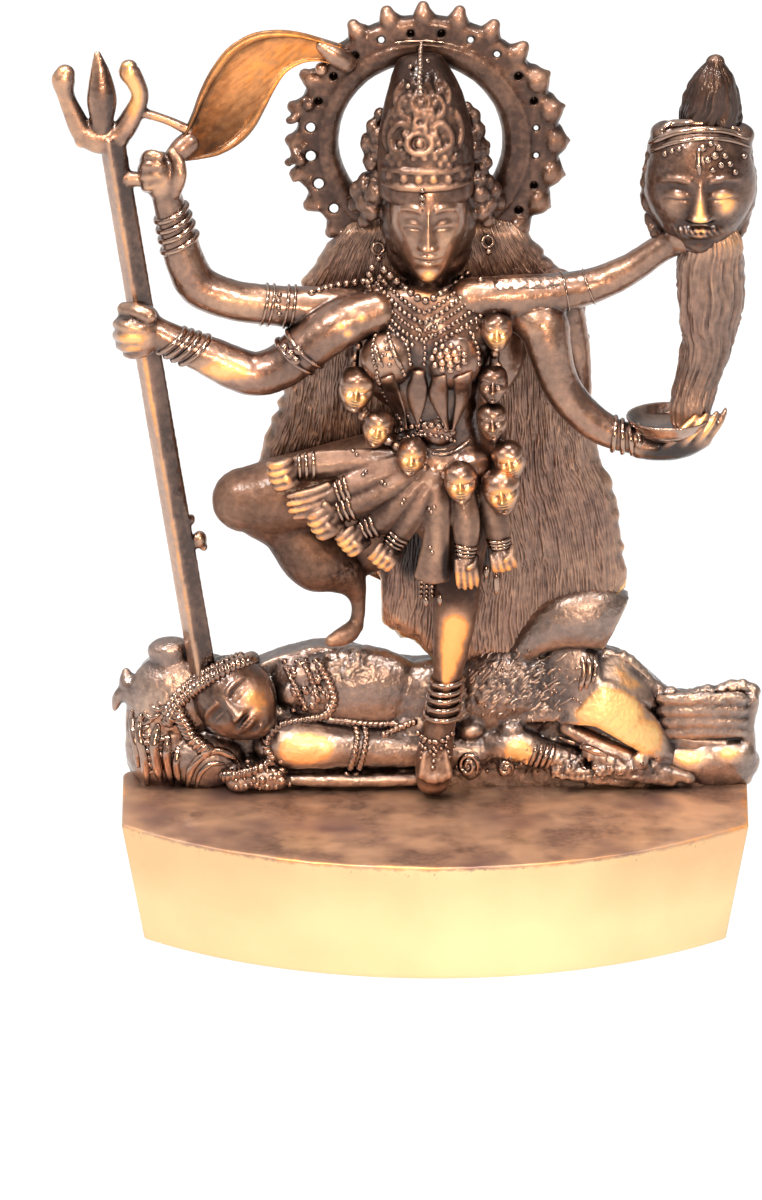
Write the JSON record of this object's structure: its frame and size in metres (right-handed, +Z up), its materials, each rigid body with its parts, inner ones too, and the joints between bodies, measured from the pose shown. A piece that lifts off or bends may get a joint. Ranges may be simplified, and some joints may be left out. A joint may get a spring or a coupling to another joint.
{
  "type": "kali figure",
  "caption": "Small cast-metal shrine figure of a many-armed goddess standing on a reclining god, on a solid bow-fronted base.",
  "frame": {"origin": "centre of the base's underside", "axes": "+Z up along the figure's height, the figure faces -Y, +X to the viewer's right"},
  "size_m": [0.0734, 0.0296, 0.0999],
  "materials": {
    "antiqued_copper": "dark antiqued copper, rubbed bright on the high spots, under a glossy lacquer",
    "polished_copper": "bright polished copper on the base's wall, lacquered"
  },
  "bodies": {
    "root": {"kali_figure": "antiqued_copper"}
  },
  "joints": []
}
